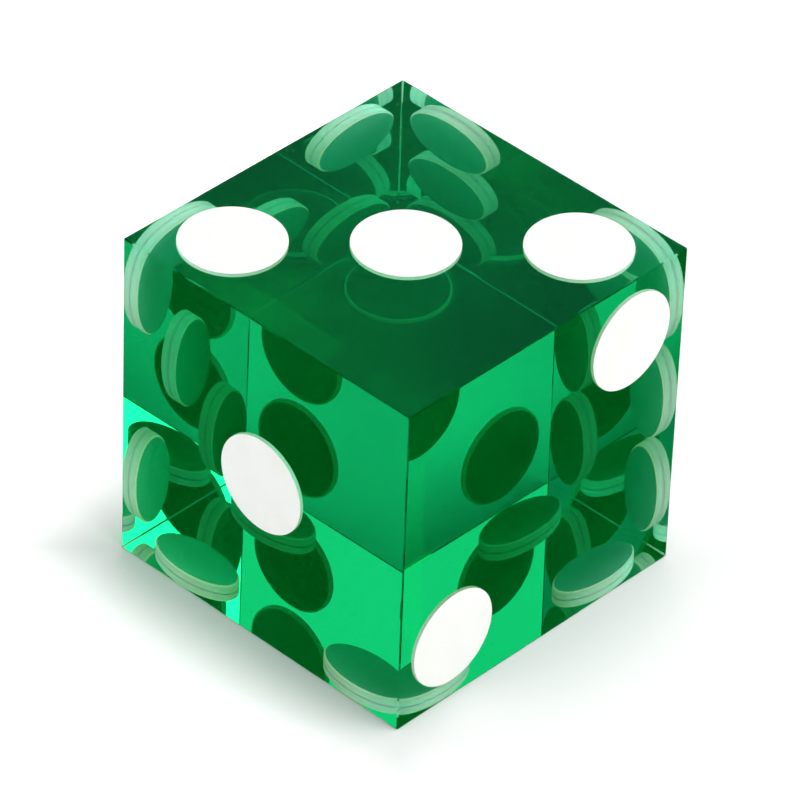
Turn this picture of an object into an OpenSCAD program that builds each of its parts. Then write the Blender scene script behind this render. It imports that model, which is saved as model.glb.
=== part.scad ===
// Precision casino die: a clear, razor-edged cube with 21 opaque pips set flush into its faces.
// It rests on its 4 face with its 3 face up. The 1 face looks along -Y and the 2 face along +X,
// so 1, 2 and 3 run anticlockwise round the corner that they share, and opposite faces add up to 7.
// The origin is the middle of the face that the die rests on.

/* [Cube] */
// Edge of the cube
edge = 19.05; // [18.5:0.05:25]

/* [Pips] */
// Diameter of a pip
pip_d = 5.36; // [3:0.02:5.6]
// Depth of the flat-bottomed recess that a pip fills
pip_depth = 0.5; // [0.3:0.05:2]
// Bevel between a pip's wall and its inner face
pip_bevel = 0.12; // [0.02:0.01:0.2]
// Distance from the middle of a face to the lines that its outer pips lie on
pip_offset = 5.85; // [5.7:0.01:6]

/* [Colours] */
// The clear cube
cube_colour = "green"; // [green, red, blue]
// The pips
pip_colour = "white"; // [white, ivory]

/* [Hidden] */
$fn = 96;
// How far a recess's cutter stands out of the face that it cuts
cutter_overrun = 1;

// Where the pips of the faces 1 to 6 lie on a face that is seen square on from outside, X to the
// right and Y up. The rows of three on the 6 face run up and down.
near = -pip_offset;
far = pip_offset;
corners = [[near, near], [near, far], [far, near], [far, far]];
pips = [
    [[0, 0]],
    [[near, near], [far, far]],
    [[near, near], [0, 0], [far, far]],
    corners,
    concat(corners, [[0, 0]]),
    [for (x = [near, far], y = [near, 0, far]) [x, y]],
];
// The turn about the cube's centre that brings the top face to where the faces 1 to 6 are
face_turns = [[90, 0, 0], [90, 0, 90], [0, 0, 0], [180, 0, 0], [90, 0, 270], [90, 0, 180]];

faces = [1 : 6];
function pip_count(face) = len(pips[face - 1]);
function pip_name(face, i) = str("pip_", face, "_", i);

// Puts its children at pip i of a face: Z points out of the face, and Z = 0 is the face itself
module at_pip(face, i) {
    translate([0, 0, edge / 2])
        rotate(face_turns[face - 1])
            translate([pips[face - 1][i - 1].x, pips[face - 1][i - 1].y, edge / 2])
                children();
}

// The outline of a pip from its axis outwards, carried on above the face by overrun
module pip_profile(overrun = 0) {
    r = pip_d / 2;
    polygon([
        [0, -pip_depth],
        [r - pip_bevel, -pip_depth],
        [r, pip_bevel - pip_depth],
        [r, overrun],
        [0, overrun],
    ]);
}

module pip(face, i) {
    color(pip_colour)
        at_pip(face, i)
            rotate_extrude()
                pip_profile();
}

module cube_body() {
    color(cube_colour, 0.6)
        difference() {
            translate([-edge / 2, -edge / 2, 0])
                cube(edge);
            for (face = faces, i = [1 : pip_count(face)])
                at_pip(face, i)
                    rotate_extrude()
                        pip_profile(cutter_overrun);
        }
}

cube_body();  // cube
for (face = faces, i = [1 : pip_count(face)])
    pip(face, i);
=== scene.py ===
import math

import bmesh
import bpy
from mathutils import Matrix, Vector


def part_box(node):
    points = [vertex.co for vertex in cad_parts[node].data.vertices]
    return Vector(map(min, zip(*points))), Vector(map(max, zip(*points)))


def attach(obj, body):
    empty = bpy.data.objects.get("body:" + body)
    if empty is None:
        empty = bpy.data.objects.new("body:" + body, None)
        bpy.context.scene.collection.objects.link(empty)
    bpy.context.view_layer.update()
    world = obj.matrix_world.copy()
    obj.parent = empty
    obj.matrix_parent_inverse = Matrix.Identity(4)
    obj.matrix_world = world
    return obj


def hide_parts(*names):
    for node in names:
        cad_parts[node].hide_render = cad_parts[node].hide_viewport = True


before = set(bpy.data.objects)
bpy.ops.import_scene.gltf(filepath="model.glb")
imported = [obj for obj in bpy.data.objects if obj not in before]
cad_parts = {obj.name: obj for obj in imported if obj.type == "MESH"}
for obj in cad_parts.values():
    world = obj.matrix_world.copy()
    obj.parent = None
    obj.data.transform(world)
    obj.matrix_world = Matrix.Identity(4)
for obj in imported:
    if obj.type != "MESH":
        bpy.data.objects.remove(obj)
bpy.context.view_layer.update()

MM = 0.001

# ---- sizes taken from the frame -------------------------------------------------------------

CUBE_LOW, CUBE_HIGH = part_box("cube")
EDGE = CUBE_HIGH.z - CUBE_LOW.z
CENTRE = (CUBE_LOW + CUBE_HIGH) / 2
PIP_NODES = sorted(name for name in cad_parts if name.startswith("pip_"))
PIP_LOW, PIP_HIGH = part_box(PIP_NODES[0])
PIP_RADIUS = max(PIP_HIGH - PIP_LOW) / 2

# ---- sizes of the details that the frame doesn't hold ----------------------------------------

RAZOR_BEVEL = 0.065 * MM     # what polishing leaves of a razor edge
RAZOR_STEPS = 2
INNER_BEVEL = 0.12 * MM      # between a recess's wall and its flat bottom
BOND = 0.012 * MM            # how far a pip's buried skin lies outside its recess
OVERRUN = 1 * MM             # how far the recesses' cutters stand out of the faces
ROUND_STEPS = 128            # facets round a pip
SMOOTH_ANGLE = 30            # a pip's edges sharper than this, in degrees, stay sharp

PIP_SPACE = "pip_space"      # a point's place in its pip's own frame, in metres
MOUTH_SHADE_LINE = 0.045 * MM      # how far down the wall the thin painted shade line at a pip's rim shows
WALL_START = PIP_RADIUS - INNER_BEVEL

# ---- the clear plastic -----------------------------------------------------------------------

BLACK = (0, 0, 0, 1)
WHITE = (1, 1, 1, 1)

IOR = 1.49
GREEN = (0.0, 0.83, 0.62, 1)         # what its absorption leaves
GREEN_DENSITY = 250.0
REFLECTION_TINT = (0.0, 0.6, 1.0, 1)  # of the outside of the faces and pips

# A pattern's scale is in steps to the metre, and the radius of its dots is in steps.
SCRATCH_FINE = 9000          # across the scratches
SCRATCH_COARSE = 180         # along them
SCRATCH_BAND = (0.70, 0.76)  # where in the noise a scratch starts, and where it is full
SCRATCH_ROUGHNESS = 0.15
DUST_SCALE = 1250
DUST_RADIUS = 0.09
DUST_SHARE = 0.12            # of the steps that hold a speck
DUST_ROUGHNESS = 0.6

# ---- the pips' paint ---------------------------------------------------------------------------

PAINT_LIGHT = (0.92, 0.92, 0.89, 1)
PAINT_WARM = (0.88, 0.87, 0.82, 1)
PAINT_PORE = (0.6, 0.6, 0.56, 1)
# colour of the turning marks, and of the painted shade line below a pip's rim
LINE_MARK_AND_SHADE = (0.5, 0.62, 0.52, 1)
PAINT_ROUGHNESS = (0.28, 0.4)
PAINT_BUMP = 0.01 * MM
CLOUD_SCALE = 500
CLOUD_BAND = (0.3, 0.7)
GRAIN_SCALE = 9000
GRAIN_BAND = (0.3, 0.7)
GRAIN_HEIGHT = 0.15          # beside a pore's depth of 1
PORE_SCALE = 2500
PORE_RADIUS = 0.09
PORE_SHARE = 0.2

# the buried side
STAINED_LIGHT = (0.5, 0.92, 0.84, 1)
STAINED_DARK = (0.42, 0.86, 0.76, 1)
STAIN_SCALE = 700
STAIN_ROUGHNESS = 0.8
TURNING_DOWN = 30000.0       # turning marks, down the wall
TURNING_ACROSS = 9000.0      # and across the bottom
TURNING_BAND = (0.35, 0.7)
TURNING_STRENGTH = 0.4
PAINTED_SEEP_GLOW = (0.75, 0.5, 0.3, 1)   # painted glow: emission standing in for daylight that soaks through the paint and out of a pip's wall
PAINTED_SEEP_STRENGTH = 0.25
PAINTED_SEEP_FADE = 0.05 * MM
BEVEL_BOOST = 1.8            # how much more of it comes out of the bevel
BEVEL_FADE = 0.03 * MM
MOUTH_DIMMING = 0.6          # how much of the painted glow the shade line at the mouth takes away

# ---- camera ----------------------------------------------------------------------------------

CAMERA_AZIMUTH = 43.0        # in degrees; 0 is at -Y and 90 at +X, as for the lights
CAMERA_ELEVATION = 38.1
CAMERA_DISTANCE = 17.0 * EDGE
CAMERA_ROLL = 2.2
SENSOR = 36.0
LENS = 300.0
CLIP_NEAR = 0.01
CLIP_FAR = 10.0

# ---- floor, backdrop and lights ----------------------------------------------------------------

AIR_GAP = 0.02 * MM          # between the die and the floor
FLOOR_RADIUS = 0.3
FLOOR_STEPS = 96
FLOOR_COLOUR = (0.82, 0.82, 0.82, 1)
FLOOR_ROUGHNESS = 0.9
# painted light on the floor: a glow that lightens the die's shadow round it, none under the die
PAINTED_FLOOR_GLOW = 0.6
GLOW_START = EDGE * 0.48
GLOW_FULL = EDGE * 0.85
DIM_SIDE = 0.25              # share of the glow on the camera's right of the die
BACKDROP_RADIUS = 1.2
SKY_RADIUS = 1.1
SKY_MARGIN = 1 * MM          # how far below the ground the dome may reach
SHELL_DETAIL = 4             # how finely the backdrop and the sky are divided
SKY_COLOUR = (0.3, 0.85, 0.95, 1)
SKY_STRENGTH = 0.3
WORLD_STRENGTH = 0.58

LIGHT_DISTANCE = 0.6
# name, azimuth, elevation, width, height, radiance; all look at the die
LIGHTS = [
    ("window", 133, 28, 1.0, 0.5, 1.1),
    ("high_panel", 103, 62, 0.32, 0.3, 4.3),
    ("rear_panel", 178, 36, 0.4, 0.26, 1.2),
    ("back_panel", 223, 36, 0.4, 0.3, 1.2),
    ("front_panel", 356, 20, 0.5, 0.4, 0.6),
    ("key", 137, 41, 0.12, 0.12, 4.0),
]

LIGHT_BOUNCES = {
    "max_bounces": 32,
    "transmission_bounces": 32,
    "glossy_bounces": 16,
    "diffuse_bounces": 6,
    "volume_bounces": 0,
}


def direction(azimuth, elevation):
    """The unit vector that points from the die to a place round it."""
    a, e = math.radians(azimuth), math.radians(elevation)
    return Vector((math.sin(a) * math.cos(e), -math.cos(a) * math.cos(e), math.sin(e)))


def make_camera():
    back = direction(CAMERA_AZIMUTH, CAMERA_ELEVATION)
    data = bpy.data.cameras.new("camera")
    data.lens, data.sensor_width = LENS, SENSOR
    data.clip_start, data.clip_end = CLIP_NEAR, CLIP_FAR
    camera = bpy.data.objects.new("camera", data)
    bpy.context.scene.collection.objects.link(camera)
    turn = (-back).to_track_quat("-Z", "Y").to_matrix().to_4x4()
    roll = Matrix.Rotation(math.radians(CAMERA_ROLL), 4, "Z")
    camera.matrix_world = Matrix.Translation(CENTRE + back * CAMERA_DISTANCE) @ turn @ roll
    bpy.context.scene.camera = camera


# ---- shader helpers ----------------------------------------------------------------------------


def new_material(name):
    material = bpy.data.materials.new(name)
    material.use_nodes = True
    nodes = material.node_tree.nodes
    return material, nodes, material.node_tree.links, nodes["Principled BSDF"]


def add_node(nodes, kind, **settings):
    node = nodes.new(kind)
    for name, value in settings.items():
        setattr(node, name, value)
    return node


def feed(links, socket, value):
    """Gives an input a link, a number or a colour. None leaves it as it is."""
    if isinstance(value, bpy.types.NodeSocket):
        links.new(value, socket)
    elif value is not None:
        socket.default_value = value


def math_node(nodes, links, operation, first, second=None, third=None):
    node = add_node(nodes, "ShaderNodeMath", operation=operation)
    for socket, value in zip(node.inputs, (first, second, third)):
        feed(links, socket, value)
    return node.outputs[0]


def map_range(nodes, links, value, low, high, to_low=0.0, to_high=1.0):
    node = add_node(nodes, "ShaderNodeMapRange", interpolation_type="SMOOTHSTEP")
    for name, number in (("From Min", low), ("From Max", high), ("To Min", to_low), ("To Max", to_high)):
        node.inputs[name].default_value = number
    links.new(value, node.inputs["Value"])
    return node.outputs["Result"]


def stretched(nodes, links, source, scale):
    """Coordinates in metres made into steps of a pattern, scale steps to the metre on each axis."""
    node = add_node(nodes, "ShaderNodeVectorMath", operation="MULTIPLY")
    links.new(source, node.inputs[0])
    node.inputs[1].default_value = scale
    return node.outputs["Vector"]


def scaled(nodes, links, source, scale):
    return stretched(nodes, links, source, (scale, scale, scale))


def noise(nodes, links, coordinates, detail=2.0, roughness=0.5):
    node = add_node(nodes, "ShaderNodeTexNoise")
    node.inputs["Scale"].default_value = 1.0
    node.inputs["Detail"].default_value = detail
    node.inputs["Roughness"].default_value = roughness
    links.new(coordinates, node.inputs["Vector"])
    return node.outputs["Fac"]


def specks(nodes, links, coordinates, radius, share):
    """1 inside small scattered dots with soft rims and 0 elsewhere. radius is in steps of the pattern."""
    node = add_node(nodes, "ShaderNodeTexVoronoi", feature="F1")
    node.inputs["Scale"].default_value = 1.0
    links.new(coordinates, node.inputs["Vector"])
    dot = map_range(nodes, links, node.outputs["Distance"], radius * 0.5, radius, 1.0, 0.0)
    pick = add_node(nodes, "ShaderNodeSeparateColor")
    links.new(node.outputs["Color"], pick.inputs[0])
    chosen = math_node(nodes, links, "LESS_THAN", pick.outputs[0], share)
    return math_node(nodes, links, "MULTIPLY", dot, chosen)


def blend(nodes, links, share, first, second):
    node = add_node(nodes, "ShaderNodeMix", data_type="RGBA")
    links.new(share, node.inputs["Factor"])
    for name, value in (("A_Color", first), ("B_Color", second)):
        feed(links, next(i for i in node.inputs if i.identifier == name), value)
    return next(o for o in node.outputs if o.identifier == "Result_Color")


def object_coordinates(nodes):
    return add_node(nodes, "ShaderNodeTexCoord").outputs["Object"]


def split_vector(nodes, links, vector):
    node = add_node(nodes, "ShaderNodeSeparateXYZ")
    links.new(vector, node.inputs[0])
    return node.outputs


def bump(nodes, links, height, distance, shader):
    node = add_node(nodes, "ShaderNodeBump")
    node.inputs["Distance"].default_value = distance
    links.new(height, node.inputs["Height"])
    links.new(node.outputs["Normal"], shader.inputs["Normal"])


def set_glow(shader, colour, strength):
    """Makes a matt shader of the stage glow evenly, with no colour or shine of its own."""
    shader.inputs["Base Color"].default_value = BLACK
    shader.inputs["Specular IOR Level"].default_value = 0.0
    shader.inputs["Emission Color"].default_value = colour
    shader.inputs["Emission Strength"].default_value = strength


# ---- materials -------------------------------------------------------------------------------


def clear_green():
    material, nodes, links, shader = new_material("clear_green")
    shader.inputs["Base Color"].default_value = WHITE
    shader.inputs["Transmission Weight"].default_value = 1.0
    shader.inputs["IOR"].default_value = IOR
    shader.inputs["Specular Tint"].default_value = REFLECTION_TINT
    absorption = nodes.new("ShaderNodeVolumeAbsorption")
    absorption.inputs["Color"].default_value = GREEN
    absorption.inputs["Density"].default_value = GREEN_DENSITY
    links.new(absorption.outputs["Volume"], nodes["Material Output"].inputs["Volume"])

    # the polish: hair-thin straight scratches and specks of dust
    place = object_coordinates(nodes)
    along_x = stretched(nodes, links, place, (SCRATCH_COARSE, SCRATCH_FINE, SCRATCH_FINE))
    along_y = stretched(nodes, links, place, (SCRATCH_FINE, SCRATCH_COARSE, SCRATCH_FINE))
    lengthways = noise(nodes, links, along_x, detail=1.0)
    crossways = noise(nodes, links, along_y, detail=1.0)
    facing = split_vector(nodes, links, add_node(nodes, "ShaderNodeNewGeometry").outputs["True Normal"])
    facing_x = math_node(nodes, links, "ABSOLUTE", facing["X"])
    on_x_face = math_node(nodes, links, "GREATER_THAN", facing_x, 0.5)
    streaks = add_node(nodes, "ShaderNodeMix", data_type="FLOAT")
    for socket, value in zip(streaks.inputs[0:1] + streaks.inputs[2:4], (on_x_face, lengthways, crossways)):
        links.new(value, socket)
    scratches = map_range(nodes, links, streaks.outputs[0], *SCRATCH_BAND, 0.0, SCRATCH_ROUGHNESS)
    dust = specks(nodes, links, scaled(nodes, links, place, DUST_SCALE), DUST_RADIUS, DUST_SHARE)
    dust = math_node(nodes, links, "MULTIPLY", dust, DUST_ROUGHNESS)
    links.new(math_node(nodes, links, "MAXIMUM", scratches, dust), shader.inputs["Roughness"])
    return material


def pip_face_material():
    """The ground face of a pip: mottled paint with a fine grain and pores."""
    material, nodes, links, shader = new_material("pip_face")
    place = object_coordinates(nodes)
    cloud = noise(nodes, links, scaled(nodes, links, place, CLOUD_SCALE), detail=4.0, roughness=0.6)
    grain = noise(nodes, links, scaled(nodes, links, place, GRAIN_SCALE))
    pores = specks(nodes, links, scaled(nodes, links, place, PORE_SCALE), PORE_RADIUS, PORE_SHARE)
    paint = blend(nodes, links, map_range(nodes, links, cloud, *CLOUD_BAND), PAINT_LIGHT, PAINT_WARM)
    links.new(blend(nodes, links, pores, paint, PAINT_PORE), shader.inputs["Base Color"])
    roughness = map_range(nodes, links, grain, *GRAIN_BAND, *PAINT_ROUGHNESS)
    links.new(roughness, shader.inputs["Roughness"])
    grain_height = math_node(nodes, links, "MULTIPLY", grain, GRAIN_HEIGHT)
    bump(nodes, links, math_node(nodes, links, "SUBTRACT", grain_height, pores), PAINT_BUMP, shader)
    shader.inputs["Specular Tint"].default_value = REFLECTION_TINT
    return material


def pip_filler_material():
    """The buried side of a pip's paint, which shows the marks that the drill left in the recess, with a
    painted shade line below the rim and a painted glow out of the wall.
    """
    material, nodes, links, shader = new_material("pip_filler")
    local = add_node(nodes, "ShaderNodeAttribute", attribute_name=PIP_SPACE).outputs["Vector"]
    height = split_vector(nodes, links, local)["Z"]
    flat = stretched(nodes, links, local, (1, 1, 0))
    length = add_node(nodes, "ShaderNodeVectorMath", operation="LENGTH")
    links.new(flat, length.inputs[0])
    radius = length.outputs["Value"]

    rings = add_node(nodes, "ShaderNodeCombineXYZ")
    links.new(math_node(nodes, links, "MULTIPLY", height, TURNING_DOWN), rings.inputs["X"])
    links.new(math_node(nodes, links, "MULTIPLY", radius, TURNING_ACROSS), rings.inputs["Y"])
    turning = noise(nodes, links, rings.outputs[0])
    turning = map_range(nodes, links, turning, *TURNING_BAND, 0.0, TURNING_STRENGTH)
    place = scaled(nodes, links, object_coordinates(nodes), STAIN_SCALE)
    cloud = noise(nodes, links, place, detail=3.0, roughness=0.6)
    paint = blend(nodes, links, map_range(nodes, links, cloud, *CLOUD_BAND), STAINED_LIGHT, STAINED_DARK)
    marked = blend(nodes, links, turning, paint, LINE_MARK_AND_SHADE)
    # painted shade: a thin darker line just below a pip's rim, where a fine groove would lie in shade
    mouth_shade = map_range(nodes, links, height, -MOUTH_SHADE_LINE * 1.5, -MOUTH_SHADE_LINE * 0.5)
    links.new(blend(nodes, links, mouth_shade, marked, LINE_MARK_AND_SHADE), shader.inputs["Base Color"])

    # painted glow: emission from the wall standing in for light soaking through the paint, more at the
    # bevel, less on the shade line
    wall = map_range(nodes, links, radius, WALL_START, WALL_START + PAINTED_SEEP_FADE, 0.0, PAINTED_SEEP_STRENGTH)
    bevel = map_range(nodes, links, radius, PIP_RADIUS - BEVEL_FADE, PIP_RADIUS, BEVEL_BOOST, 1.0)
    wall = math_node(nodes, links, "MULTIPLY", wall, bevel)
    glow_past_shade_line = math_node(nodes, links, "MULTIPLY_ADD", mouth_shade, -MOUTH_DIMMING, 1.0)
    shader.inputs["Emission Color"].default_value = PAINTED_SEEP_GLOW
    links.new(math_node(nodes, links, "MULTIPLY", wall, glow_past_shade_line), shader.inputs["Emission Strength"])
    shader.inputs["Roughness"].default_value = STAIN_ROUGHNESS
    shader.inputs["Specular IOR Level"].default_value = 0.0
    return material


def floor_material():
    """The floor, with a painted glow that lightens the die's shadow: it glows round the die, but not under
    it, and less on the right.
    """
    material, nodes, links, shader = new_material("floor")
    shader.inputs["Base Color"].default_value = FLOOR_COLOUR
    shader.inputs["Roughness"].default_value = FLOOR_ROUGHNESS
    shader.inputs["Specular IOR Level"].default_value = 0.0
    place = split_vector(nodes, links, object_coordinates(nodes))
    across = math_node(nodes, links, "ABSOLUTE", place["X"])
    along = math_node(nodes, links, "ABSOLUTE", place["Y"])
    away = math_node(nodes, links, "MAXIMUM", across, along)
    glow = map_range(nodes, links, away, GLOW_START, GLOW_FULL, 0.0, PAINTED_FLOOR_GLOW)
    diagonal = math_node(nodes, links, "ADD", place["X"], place["Y"])
    side = map_range(nodes, links, diagonal, -EDGE / 2, EDGE / 2, 1.0, DIM_SIDE)
    shader.inputs["Emission Color"].default_value = WHITE
    links.new(math_node(nodes, links, "MULTIPLY", glow, side), shader.inputs["Emission Strength"])
    return material


# ---- meshes ----------------------------------------------------------------------------------


def new_mesh(name, bm):
    """Turns bm into a mesh whose faces all look outwards, and frees bm."""
    mesh = bpy.data.meshes.new(name)
    bmesh.ops.recalc_face_normals(bm, faces=bm.faces)
    bm.to_mesh(mesh)
    bm.free()
    return mesh


def finish_mesh(name, bm, materials):
    mesh = new_mesh(name, bm)
    for material in materials:
        mesh.materials.append(material)
    piece = bpy.data.objects.new(name, mesh)
    bpy.context.scene.collection.objects.link(piece)
    return piece


def pip_place(node):
    """The matrix that puts a pip made at the origin, its face at Z = 0 looking up, in its recess."""
    low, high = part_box(node)
    middle = (low + high) / 2
    size = high - low
    axis = min(range(3), key=lambda k: size[k])
    out = Vector((0, 0, 0))
    out[axis] = 1 if middle[axis] > CENTRE[axis] else -1
    middle[axis] = high[axis] if out[axis] > 0 else low[axis]
    return Matrix.Translation(middle) @ out.to_track_quat("Z", "Y").to_matrix().to_4x4()


def pip_size(node):
    """A pip's radius and depth."""
    low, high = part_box(node)
    size = sorted(high - low)
    return size[2] / 2, size[0]


def lathe(bm, profile):
    """A closed solid turned about Z from points (radius, height) that start and end on the axis."""
    rings = []
    for r, z in profile:
        if r == 0:
            rings.append([bm.verts.new((0, 0, z))])
            continue
        turns = [2 * math.pi * i / ROUND_STEPS for i in range(ROUND_STEPS)]
        rings.append([bm.verts.new((r * math.cos(t), r * math.sin(t), z)) for t in turns])
    for upper, lower in zip(rings, rings[1:]):
        for i in range(ROUND_STEPS):
            j = (i + 1) % ROUND_STEPS
            top = [upper[i % len(upper)], upper[j % len(upper)]]
            bottom = [lower[j % len(lower)], lower[i % len(lower)]]
            bm.faces.new(list(dict.fromkeys(top + bottom)))


def recess_profile(radius, depth):
    return [
        (0, OVERRUN),
        (radius, OVERRUN),
        (radius, INNER_BEVEL - depth),
        (radius - INNER_BEVEL, -depth),
        (0, -depth),
    ]


def pip_profile(radius, depth):
    wall = radius + BOND
    bottom = -depth - BOND
    return [
        (0, 0),
        (radius * 0.5, 0),
        (radius, 0),
        (wall, -BOND),
        (wall, INNER_BEVEL + bottom),
        (wall - INNER_BEVEL, bottom),
        (radius * 0.5, bottom),
        (0, bottom),
    ]


def make_recess_cutter():
    bm = bmesh.new()
    for node in PIP_NODES:
        tool = bmesh.new()
        lathe(tool, recess_profile(*pip_size(node)))
        tool.transform(pip_place(node))
        mesh = new_mesh("tool", tool)
        bm.from_mesh(mesh)
        bpy.data.meshes.remove(mesh)
    return finish_mesh("cutter", bm, [])


def make_cube(material):
    bm = bmesh.new()
    bmesh.ops.create_cube(bm, size=EDGE, matrix=Matrix.Translation(CENTRE))
    bmesh.ops.bevel(
        bm, geom=bm.edges[:], offset=RAZOR_BEVEL, segments=RAZOR_STEPS, profile=0.5, affect="EDGES"
    )
    cube = finish_mesh("cube_body", bm, [material])

    cutter = make_recess_cutter()
    cut = cube.modifiers.new("recesses", "BOOLEAN")
    cut.operation, cut.solver, cut.object = "DIFFERENCE", "EXACT", cutter
    evaluated = cube.evaluated_get(bpy.context.evaluated_depsgraph_get())
    mesh = bpy.data.meshes.new_from_object(evaluated)
    cube.modifiers.clear()
    cube.data = mesh
    bpy.data.objects.remove(cutter)
    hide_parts("cube")
    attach(cube, "root")


def make_pip(node, face_material, filler_material):
    bm = bmesh.new()
    lathe(bm, pip_profile(*pip_size(node)))
    for face in bm.faces:
        face.material_index = 0 if all(v.co.z == 0 for v in face.verts) else 1
        face.smooth = True
    local = bm.verts.layers.float_vector.new(PIP_SPACE)
    for v in bm.verts:
        v[local] = v.co
    bm.transform(pip_place(node))
    pip = finish_mesh(node + "_disc", bm, [face_material, filler_material])
    pip.data.set_sharp_from_angle(angle=math.radians(SMOOTH_ANGLE))
    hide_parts(node)
    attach(pip, "root")


# ---- stage -------------------------------------------------------------------------------------


def make_floor():
    bm = bmesh.new()
    bmesh.ops.create_circle(bm, cap_ends=True, radius=FLOOR_RADIUS, segments=FLOOR_STEPS)
    bm.transform(Matrix.Translation((0, 0, -AIR_GAP)))
    floor = finish_mesh("floor", bm, [floor_material()])
    floor.visible_glossy = False


def make_backdrop():
    """A white shell round everything, which only the camera sees."""
    bm = bmesh.new()
    bmesh.ops.create_icosphere(bm, subdivisions=SHELL_DETAIL, radius=BACKDROP_RADIUS)
    material, _, _, shader = new_material("backdrop")
    set_glow(shader, WHITE, 1.0)
    backdrop = finish_mesh("backdrop", bm, [material])
    backdrop.visible_diffuse = backdrop.visible_glossy = backdrop.visible_transmission = False
    backdrop.visible_volume_scatter = backdrop.visible_shadow = False


def make_reflected_sky():
    """A dim half dome, which shows only in reflections."""
    bm = bmesh.new()
    bmesh.ops.create_icosphere(bm, subdivisions=SHELL_DETAIL, radius=SKY_RADIUS)
    low = [v for v in bm.verts if v.co.z < -SKY_MARGIN]
    bmesh.ops.delete(bm, geom=low, context="VERTS")
    material, _, _, shader = new_material("reflected_sky")
    set_glow(shader, SKY_COLOUR, SKY_STRENGTH)
    sky = finish_mesh("reflected_sky", bm, [material])
    sky.visible_camera = sky.visible_diffuse = sky.visible_transmission = False
    sky.visible_volume_scatter = sky.visible_shadow = False


def make_world():
    world = bpy.data.worlds.new("studio")
    world.use_nodes = True
    background = world.node_tree.nodes["Background"]
    background.inputs["Color"].default_value = WHITE
    background.inputs["Strength"].default_value = WORLD_STRENGTH
    world.cycles_visibility.glossy = False
    bpy.context.scene.world = world


def softbox(name, azimuth, elevation, width, height, radiance):
    """An area light that looks at the die."""
    back = direction(azimuth, elevation)
    data = bpy.data.lights.new(name, "AREA")
    data.shape, data.size, data.size_y = "RECTANGLE", width, height
    data.energy = radiance * math.pi * width * height
    light = bpy.data.objects.new(name, data)
    bpy.context.scene.collection.objects.link(light)
    place = Matrix.Translation(CENTRE + back * LIGHT_DISTANCE)
    light.matrix_world = place @ back.to_track_quat("Z", "Y").to_matrix().to_4x4()
    light.visible_camera = light.visible_glossy = False


def set_up_scene():
    scene = bpy.context.scene
    scene.view_settings.view_transform = "Standard"
    for name, number in LIGHT_BOUNCES.items():
        setattr(scene.cycles, name, number)
    scene.cycles.blur_glossy = 0.0
    scene.cycles.use_denoising = True
    scene.cycles.denoising_input_passes = "RGB"


make_camera()
make_cube(clear_green())
pip_face, pip_filler = pip_face_material(), pip_filler_material()
for pip_node in PIP_NODES:
    make_pip(pip_node, pip_face, pip_filler)
make_floor()
make_backdrop()
make_reflected_sky()
make_world()
for light_settings in LIGHTS:
    softbox(*light_settings)
set_up_scene()
